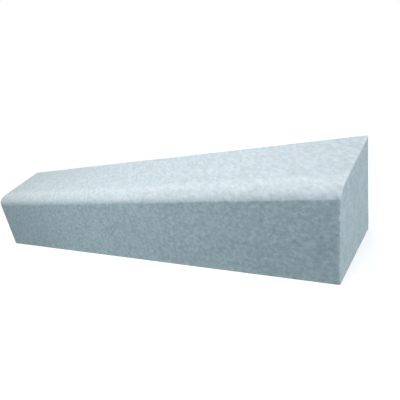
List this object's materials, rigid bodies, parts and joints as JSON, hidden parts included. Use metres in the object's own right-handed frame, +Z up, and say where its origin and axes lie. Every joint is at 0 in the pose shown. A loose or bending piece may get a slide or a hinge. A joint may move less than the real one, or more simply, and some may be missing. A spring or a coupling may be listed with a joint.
{
  "type": "natural stone kerb",
  "caption": "Straight granite kerb with a battered road face, a rounded nose with a crease under it and a top that rises gently to an upright back, laid end to end along a road.",
  "frame": {"origin": "middle of the bed, on the ground, below the middle of the stone's box", "axes": "+X runs along the kerb, -Y faces the road, +Y is the upright back, +Z is up"},
  "size_m": [1, 0.1796, 0.1647],
  "materials": {
    "granite": "fine-grained blue-grey granite, fine-picked pale top and nose, darker textured road face, smoother sawn ends, back and bed"
  },
  "bodies": {
    "root": {"kerb_stone": "granite"}
  },
  "joints": []
}
